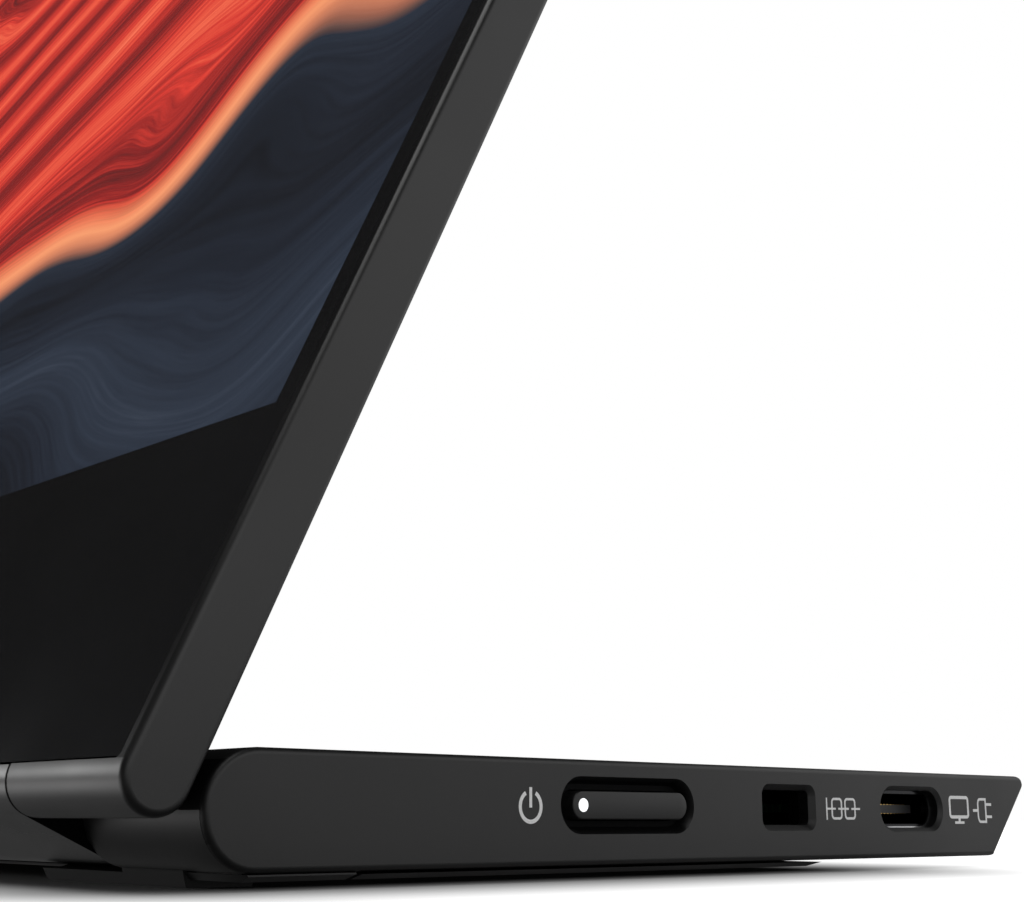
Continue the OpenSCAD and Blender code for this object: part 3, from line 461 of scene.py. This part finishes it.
def cover_glass(name):
    """Glossy black glass that lets the lit picture through inside its border."""
    mat, net, out = new_net(name)
    flat = slab_point(net)
    x, s, t = apart(net, flat)
    face = maths(net, "GREATER_THAN", t, GLASS_TOP - 0.02 * MM)
    mask = product(net, inside(net, x, -PICTURE_X, PICTURE_X), inside(net, s, CHIN, CHIN + PICTURE_H), face)
    smear = noise(net, flat, 60.0, 5.0)
    tint = ramp(net, smear, [(0.3, (0.0135, 0.0135, 0.0140)), (0.7, (0.0160, 0.0160, 0.0168))])
    gloss = slope(net, smear, 0.35, 0.7, 0.10, 0.17)
    front = put(net, "BsdfPrincipled", {"Base Color": tint, "Roughness": gloss,
                                        "Emission Color": picture(net, flat), "Emission Strength": mask})
    # Painted shade: the cut edge gets no light, so it is painted near black.
    painted_edge_shade = put(net, "BsdfDiffuse", {"Color": (0.0012, 0.0012, 0.0013, 1)})
    return finished(mat, out, put(net, "MixShader", {0: face, 1: painted_edge_shade.outputs[0], 2: front.outputs[0]}))


front_glass = cover_glass("front_glass")
print("picture:", 2 * PICTURE_X, "by", PICTURE_H)

# %% [markdown]
# ## A finish for every piece of the frame
# Each piece of the frame keeps its shape and takes the finish of its slot.

# %% Finishes on the frame
finish_of = {
    "base_top_shell": shell_black, "base_bottom_cover": cover_black, "screen_housing": screen_black,
    "front_glass": front_glass, "lcd_panel": panel_glass, "backlight": light_guide,
    "panel_tape": foam_tape, "driver_board": circuit_board, "panel_ribbons": ribbon_amber,
    "screen_bumpers": foot_rubber, "hinge_arm_right": arm_black, "hinge_arm_left": arm_black,
    "hinge_shaft_right": shaft_steel, "hinge_shaft_left": shaft_steel, "arm_screws": screw_steel,
    "cable_in_screen": cable_black, "cable_in_base": cable_black, "main_board": circuit_board,
    "shield_can": tin_plate, "button_board_right": circuit_board, "button_board_left": circuit_board,
    "button_switches": switch_black, "port_shell_right": port_steel, "port_shell_left": port_steel,
    "port_tongue_right": port_insulator, "port_tongue_left": port_insulator,
    "port_contacts_right": contact_gold, "port_contacts_left": contact_gold,
    "lock_plate": black_steel, "base_weight": bare_steel, "hinge_bracket_right": bare_steel,
    "hinge_bracket_left": bare_steel, "bracket_screws": screw_steel, "cover_screws": screw_steel,
    "front_feet": foot_rubber, "rear_feet": foot_rubber, "power_button": button_black,
    "power_light": light_white, "brightness_rocker": button_black, "comfort_button": button_black,
    "lift_foot": leg_black, "lift_foot_nose": foot_rubber, "lift_foot_pins": shaft_steel,
}
for name, obj in nodes.items():
    obj.data.materials.clear()
    obj.data.materials.append(finish_of[name])
print("dressed:", len(finish_of), "of", len(nodes))

# %% [markdown]
# ## Printed signs on the side faces
# The signs are thin white ink. An image could carry them, but a shape stays sharp from as
# near as one likes. Each stroke is a flat ribbon that follows a line of points: at every
# point the ribbon spreads half its width to both sides, along the line's normal.


# %% Ink, and ribbons along a line
def ink_finish(name):
    """White ink that is slightly uneven in tone."""
    mat, net, out = new_net(name)
    speck = noise(net, object_point(net), 6000.0, 2.0)
    tint = ramp(net, speck, [(0.3, (0.80, 0.80, 0.80)), (0.7, (0.90, 0.90, 0.90))])
    return finished(mat, out, put(net, "BsdfPrincipled", {"Base Color": tint, "Roughness": 0.6}))


def ribbon(points, width, closed=False):
    """Flat strip along points (n, 2): the normal is the tangent turned a quarter, and at a
    corner it is longer by one over the cosine of half the bend, so the width stays even."""
    p = np.asarray(points, float)
    fore = (np.roll(p, -1, 0) if closed else np.vstack([p[1:], 2 * p[-1] - p[-2]])) - p
    aft = p - (np.roll(p, 1, 0) if closed else np.vstack([2 * p[0] - p[1], p[:-1]]))
    fore /= np.linalg.norm(fore, axis=1)[:, None]
    aft /= np.linalg.norm(aft, axis=1)[:, None]
    mid = fore + aft
    mid /= np.linalg.norm(mid, axis=1)[:, None]
    grow = 1 / np.clip((mid * fore).sum(1), 0.35, 1)[:, None]
    side = np.stack([-mid[:, 1], mid[:, 0]], 1) * width / 2 * grow
    n = len(p)
    i = np.arange(n if closed else n - 1)
    j = (i + 1) % n
    return np.vstack([p + side, p - side]), np.stack([i, j, j + n, i + n], 1)


sign_ink = ink_finish("sign_ink")
print("ink ready")

# %% [markdown]
# The lines that the ribbons follow are of three kinds: an arc, a box with rounded corners,
# and a straight run. They are drawn in millimetres on the side face, with y to the back from
# the hinge axis and z up from the underside.


# %% Lines to draw with
def arc(cy, cz, ry, rz, a0, a1, n=48):
    """Points on an ellipse from angle a0 to a1 in degrees."""
    a = np.radians(np.linspace(a0, a1, n))
    return np.stack([cy + ry * np.cos(a), cz + rz * np.sin(a)], 1)


def ring(cy, cz, r, n):
    """Closed circle of n points."""
    return arc(cy, cz, r, r, 0, 360, n + 1)[:-1]


def box_line(y0, y1, z0, z1, r, n=7):
    """Closed line round a rectangle with rounded corners."""
    parts = [arc(cy, cz, r, r, a, a + 90, n) for cy, cz, a in
             [(y1 - r, z1 - r, 0), (y0 + r, z1 - r, 90), (y0 + r, z0 + r, 180), (y1 - r, z0 + r, 270)]]
    return np.vstack(parts)


def line(*points):
    """Straight run through the points."""
    return np.array(points, float)


print("points of a sample box:", len(box_line(0, 2, 0, 1, 0.3)))

# %% [markdown]
# A stroke becomes a thin solid, as pad printing leaves a thin raised layer of ink: the ribbon
# lies on the side face, a copy of it lies a hundredth of a millimetre further out, and walls
# join the two. The strokes of a sign cross, so each is a little thicker than the last one.

# %% A sign as one raised mesh
INK = 0.012 * MM


def on_side(side, y, z):
    """Point on a side face: y back from the hinge axis, z up from the underside."""
    return np.stack([side * HALF_W + 0 * y, y + HINGE[1], z + FEET], axis=-1)


def make_piece(name, points, faces, finish):
    """Mesh object from an array of points and a list of faces, with its finish."""
    mesh = bpy.data.meshes.new(name)
    mesh.from_pydata(points.reshape(-1, 3).tolist(), [], faces)
    mesh.update()
    mesh.materials.append(finish)
    piece = bpy.data.objects.new(name, mesh)
    bpy.context.scene.collection.objects.link(piece)
    return piece


def stroke(side, points, width, closed, height):
    """Points and faces of one stroke: the ribbon below, the ribbon above, a wall along each edge,
    and a wall at each open end. On the left side the corners run the other way round, so that
    the faces look outward there too."""
    flat, quads = ribbon(points, width, closed)
    low = on_side(side, flat[:, 0] * MM, flat[:, 1] * MM)
    n = len(flat)
    a, b, c, d = quads.T
    faces = [quads + n, quads[:, ::-1], np.stack([a + n, b + n, b, a], 1), np.stack([d, c, c + n, d + n], 1)]
    if not closed:
        half = n // 2
        faces += [[[0, half, half + n, n]], [[half - 1 + n, 2 * n - 1, n - 1, half - 1]]]
    faces = np.vstack(faces)
    return np.vstack([low, low + [side * height, 0, 0]]), faces[:, ::-1] if side < 0 else faces


def sign(name, side, strokes, body="base"):
    """Puts strokes (points, width, closed), in mm on the side face, into one mesh that rides
    on the body."""
    points, faces, count = [], [], 0
    for k, (along, width, closed) in enumerate(strokes):
        stroke_points, stroke_faces = stroke(side, along, width, closed, INK * (1 + 0.04 * k))
        points.append(stroke_points)
        faces.append(stroke_faces + count)
        count += len(stroke_points)
    piece = make_piece(name, np.vstack(points), np.vstack(faces).tolist(), sign_ink)
    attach(piece, body)
    return piece


print("ink stands", INK, "m proud")

# %% [markdown]
# ## The signs of both sides
# On the right, from front to back: a power sign, a chain for the lock slot, and a screen and
# a plug for the port. Each is a few strokes.

# %% Signs on the right side
screen_strokes = [
    (box_line(72.98, 75.95, 3.42, 5.12, 0.25), 0.28, True),
    (line((74.46, 3.36), (74.46, 2.98)), 0.34, False),
    (line((73.70, 2.93), (75.22, 2.93)), 0.22, False)]
links = [(box_line(y0, y1, 3.25, 4.80, 0.28), 0.19, True) for y0, y1 in ((55.42, 56.72), (57.22, 58.58))]
joins = [(line((y0, 4.02), (y1, 4.02)), 0.16, False)
         for y0, y1 in ((54.80, 55.92), (56.28, 57.72), (58.10, 59.30))]
plug_body = np.vstack([arc(78.0, 4.55, 0.35, 0.45, 90, 180, 6), arc(78.0, 3.45, 0.35, 0.45, 180, 270, 6),
                       line((78.95, 3.0), (78.95, 5.0))])
right_signs = {
    "sign_power": [(arc(21.63, 3.95, 0.96, 1.0, 118, 422), 0.27, False),
                   (line((21.63, 3.88), (21.63, 5.22)), 0.25, False)],
    "sign_lock": [(line((54.70, 3.14), (54.70, 4.90)), 0.17, False)] + links + joins,
    "sign_screen": screen_strokes,
    "sign_plug": [(plug_body, 0.22, True), (line((76.79, 4.0), (77.56, 4.0)), 0.24, False),
                  (line((79.05, 3.45), (79.95, 3.45)), 0.24, False),
                  (line((79.05, 4.55), (79.95, 4.55)), 0.24, False)],
}
for name, strokes in right_signs.items():
    sign(name, 1, strokes)
print("signs on the right side:", len(right_signs))

# %% [markdown]
# The left side has a sun beside the brightness rocker, an eye beside the comfort button, and
# the same screen sign beside its port. The sun's rays are one stroke, turned eight times.

# %% Signs on the left side
SUN_Y, SUN_Z = 17.8, 4.08
EYE_Y = 41.6
sun = [(ring(SUN_Y, SUN_Z, 0.45, 32), 0.2, True)]
for turn in np.arange(8) * math.pi / 4:
    ray = np.array([math.cos(turn), math.sin(turn)])
    sun.append((line([SUN_Y, SUN_Z] + 0.75 * ray, [SUN_Y, SUN_Z] + 1.1 * ray), 0.2, False))
left_signs = {
    "sign_brightness": sun,
    "sign_comfort": [(arc(EYE_Y, 3.25, 1.25, 1.25, 35, 145, 25), 0.2, False),
                     (arc(EYE_Y, 4.95, 1.25, 1.25, 215, 325, 25), 0.2, False),
                     (ring(EYE_Y, 4.10, 0.32, 24), 0.2, True)],
    "sign_screen_left": screen_strokes,
}
for name, strokes in left_signs.items():
    sign(name, -1, strokes)
print("signs on the left side:", len(left_signs))

# %% [markdown]
# ## Softly rounded buttons
# A button is a stadium: two half circles joined by straight sides. Moved in by any inset it
# stays a stadium, so the cap is a stack of such rings: a slightly domed front, a rounded edge,
# the straight side through the wall, and the wider flange that keeps it in. The rounding is
# what shows a thin light line along a real button's edge.

# %% Profile of a cap
CAP_H = 1.94 * MM
EDGE, DOME = 0.12 * MM, 0.06 * MM
PROUD, SEAT = 0.245 * MM, 2.65 * MM
FLANGE, FLANGE_T = 0.75 * MM, 0.6 * MM
NEARLY = 0.999  # the innermost ring stops just short of the middle line


def cap_rings(half_h):
    """Rings (distance out of the side face, inset) from the front's middle line to the back's.
    The front drops by DOME * q^2, where q runs from 0 on the middle line to 1 at the edge, and
    the edge is a quarter circle of radius EDGE."""
    inset = np.linspace(half_h * NEARLY, EDGE, 9)
    q = (half_h - inset) / (half_h - EDGE)
    front = np.stack([PROUD - DOME * q ** 2, inset], 1)
    turn = np.radians(np.linspace(90, 0, 7))[1:]
    edge = np.stack([PROUD - DOME - EDGE + EDGE * np.sin(turn), EDGE - EDGE * np.cos(turn)], 1)
    back = np.array([[-SEAT, 0.0], [-SEAT, -FLANGE], [-SEAT - FLANGE_T, -FLANGE],
                     [-SEAT - FLANGE_T, half_h * NEARLY]])
    return np.vstack([front, edge, back])


def ring_faces(n, m, mirrored=False):
    """Faces of a closed body of n rings with m points each: four-cornered faces between each ring
    and the next, and then one flat face at each end."""
    i, j = np.meshgrid(np.arange(n - 1), np.arange(m), indexing="ij")
    k = (j + 1) % m
    quads = np.stack([i * m + j, (i + 1) * m + j, (i + 1) * m + k, i * m + k], -1).reshape(-1, 4)
    ends = np.array([np.arange(m), np.arange(n * m - 1, (n - 1) * m - 1, -1)])
    if mirrored:
        quads, ends = quads[:, ::-1], ends[:, ::-1]
    return quads.tolist() + ends.tolist()


print("rings in a cap:", len(cap_rings(CAP_H / 2)))

# %% [markdown]
# The cap is the stack of rings, each ring with 50 points: 25 on each half circle. The straight
# sides need none of their own. Everything but the two ends is shaded smooth.

# %% Buttons
POWER_Y, POWER_L = 31.38 * MM, 11.85 * MM
COMFORT_Y, COMFORT_L = 48.0 * MM, 5.0 * MM


def button(name, side, y, length, body, node):
    """Cap on a side face: ring by ring, a stadium of the given length with the ring's inset."""
    half_h = CAP_H / 2
    run = length / 2 - half_h
    rings = cap_rings(half_h)
    a = np.radians(np.linspace(-90, 90, 25))
    centre = np.repeat([run, -run], len(a))
    out_y = np.concatenate([np.cos(a), -np.cos(a)])
    out_z = np.concatenate([np.sin(a), -np.sin(a)])
    r = half_h - rings[:, 1:]
    place = on_side(side, y + centre + r * out_y, ROW_Z - FEET + r * out_z)
    place[..., 0] += side * rings[:, :1]
    faces = ring_faces(*place.shape[:2], mirrored=side < 0)
    piece = make_piece(name, place, faces, button_black)
    piece.data.polygons.foreach_set("use_smooth", [True] * (len(faces) - 2) + [False] * 2)
    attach(piece, body)
    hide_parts(node)
    return piece


caps = [button("power_cap", 1, POWER_Y, POWER_L, "power_button", "power_button"),
        button("comfort_cap", -1, COMFORT_Y, COMFORT_L, "comfort_button", "comfort_button")]
print("buttons with rounded edges:", len(caps))

# %% [markdown]
# ## Lens of the power light
# A small round lens sits in the front end of the power button. It swells a little, so that it
# catches the light as a real one does, and its stem fills the hole behind it. It is a stack
# of rings like the cap, with circles in place of stadiums.

# %% Lens of the power light
LENS_Y, LENS_R = POWER_Y - 4.955 * MM, 0.46 * MM
SWELL, STEM = 0.02 * MM, 1.9 * MM
LENS_LIFT = 0.004 * MM


def lens(name):
    """Round lens: it swells by SWELL * (1 - q^2) from rim to middle, with a short round stem behind."""
    q = np.linspace(0.02, 1.0, 8)
    r = LENS_R * np.concatenate([q, [1.0, 0.02]])[:, None]
    out = np.concatenate([SWELL * (1 - q ** 2), [-STEM, -STEM]]) + PROUD + LENS_LIFT
    a = np.linspace(0, 2 * np.pi, 49)[:-1]
    place = on_side(1, LENS_Y + r * np.cos(a), ROW_Z - FEET + r * np.sin(a))
    place[..., 0] += out[:, None]
    piece = make_piece(name, place, ring_faces(*place.shape[:2]), light_white)
    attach(piece, "power_button")
    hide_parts("power_light")
    return piece


print("faces of the lens:", len(lens("power_lens").data.polygons))

# %% [markdown]
# ## Floor
# A white table runs far back into a white room. The camera sees it as plain white, with only
# the soft shadow under the base. A real white table isn't lit that evenly, so the floor's
# finish paints the shadow: it is painted darker under the base, and adds light of its own for
# the camera elsewhere. What the plastic mirrors is painted apart from that: a floor painted
# dark for reflections beside the right front corner, as painted shade, and a bright band in
# front of the hinge that only reflections see, a painted reflection which the barrels show as
# their lower highlight.

# %% Floor
REACH = 6.0
# The painted shadow under the base covers this ground.
SHADE_X, SHADE_Y, SHADE_MID = 0.150, 0.029, -0.011  # half sizes and middle of the shaded ground


def floor_finish(name):
    """White paint with a painted shadow, and with painted dark and bright places that only
    reflections see. clear is 0 in the painted shadow and 1 away from it. beside is 1 to the
    left of the base's right face."""
    mat, net, out = new_net(name)
    ray = put(net, "LightPath").outputs
    x, y, _ = apart(net, object_point(net))
    off_x = past(net, x, SHADE_X)
    off_y = past(net, maths(net, "SUBTRACT", y, SHADE_MID), SHADE_Y)
    off = maths(net, "SQRT", maths(net, "MULTIPLY_ADD", off_x, off_x, maths(net, "MULTIPLY", off_y, off_y)))
    clear = rise(net, off, 0.002, 0.030)
    beside = rise(net, x, 0.160, 0.150)
    # Painted shade for reflections: beside the right front corner the floor looks black to glossy rays.
    painted_dark_reflection = product(net, rise(net, y, -0.025, -0.040), maths(net, "SUBTRACT", 1.0, beside),
                   ray["Is Glossy Ray"], 0.8)
    # Painted shadow: the paint is grey where clear is 0 and white away from it.
    tone = ramp(net, clear, [(0.0, (0.25, 0.25, 0.25)), (1.0, (0.92, 0.92, 0.92))])
    paint = put(net, "BsdfDiffuse", {"Color": blend(net, painted_dark_reflection, tone, (0, 0, 0, 1))})
    # Painted reflection: a bright band in front of the hinge that only glossy rays see.
    band = product(net, rise(net, y, -0.050, -0.060, 1.2), rise(net, y, -0.110, -0.075))
    mirrored = product(net, beside, maths(net, "ADD", band, 0.09), ray["Is Glossy Ray"])
    lift = maths(net, "ADD", product(net, ray["Is Camera Ray"], clear, 0.95), mirrored)
    glow = put(net, "Emission", {"Color": (1, 1, 1, 1), "Strength": lift})
    return finished(mat, out, put(net, "AddShader", {0: paint.outputs[0], 1: glow.outputs[0]}))


corners = np.array([(-REACH, -REACH, 0), (REACH, -REACH, 0), (REACH, REACH, 0), (-REACH, REACH, 0)])
floor = make_piece("floor", corners, [(0, 1, 2, 3)], floor_finish("floor_white"))
print("floor", REACH * 2, "m wide")

# %% [markdown]
# ## Room
# The camera sees the room as plain white. The object sees another one: dark in front and
# above, so that the glass and the top stay black, bright to the right and behind, where the
# side faces take their grey from, and with one low bright strip at the left front, which the
# barrels show as their upper highlight. A world made of sums on the direction does both.

# %% Room
room = bpy.data.worlds.new("room")
bpy.context.scene.world = room
room.use_nodes = True
net = room.node_tree
net.nodes.clear()
east, north, up = apart(net, put(net, "TexCoord").outputs["Generated"])
wall = rise(net, maths(net, "MULTIPLY_ADD", north, 0.55, east), -0.10, 0.75, 0.86)
brighter = total(net, rise(net, east, 0.76, 0.88, 0.28), 0.95, rise(net, north, 0.78, 0.92, 0.28),
                 rise(net, up, 0.30, 0.50, 0.35))
wall = product(net, wall, rise(net, up, 0.72, 0.50), brighter)
strip = product(net, rise(net, east, -0.55, -0.80, 4.5), rise(net, north, -0.27, -0.35),
                rise(net, up, 0.02, 0.12), rise(net, up, 0.35, 0.28))
dim = maths(net, "ADD", maths(net, "MAXIMUM", wall, strip), 0.012)
seen = put(net, "LightPath").outputs["Is Camera Ray"]
level = put(net, "Mix", {0: seen, 2: dim, 3: 1.0}).outputs[0]
sky = put(net, "Background", {"Color": (1, 1, 1, 1), "Strength": level})
net.links.new(sky.outputs[0], put(net, "OutputWorld").inputs["Surface"])
print("nodes of the room:", len(net.nodes))

# %% [markdown]
# ## Lamp
# One large soft lamp stands high up in front. Its size keeps the edge of its shadow soft. It is
# a rectangle, and it faces the corner that the picture shows.

# %% Lamp
LAMP_PLACE, LAMP_AIM = Vector((0.2, -0.5, 1.6)), Vector((0.158, -0.03, 0.05))
soft = bpy.data.lights.new("lamp_above", "AREA")
soft.shape, soft.size, soft.size_y, soft.energy = "RECTANGLE", 1.4, 1.0, 10.0
lamp = bpy.data.objects.new("lamp_above", soft)
bpy.context.scene.collection.objects.link(lamp)
lamp.location = LAMP_PLACE
lamp.rotation_euler = (LAMP_AIM - LAMP_PLACE).to_track_quat("-Z", "Y").to_euler()
print("lamp", round((LAMP_AIM - LAMP_PLACE).length, 2), "m away")
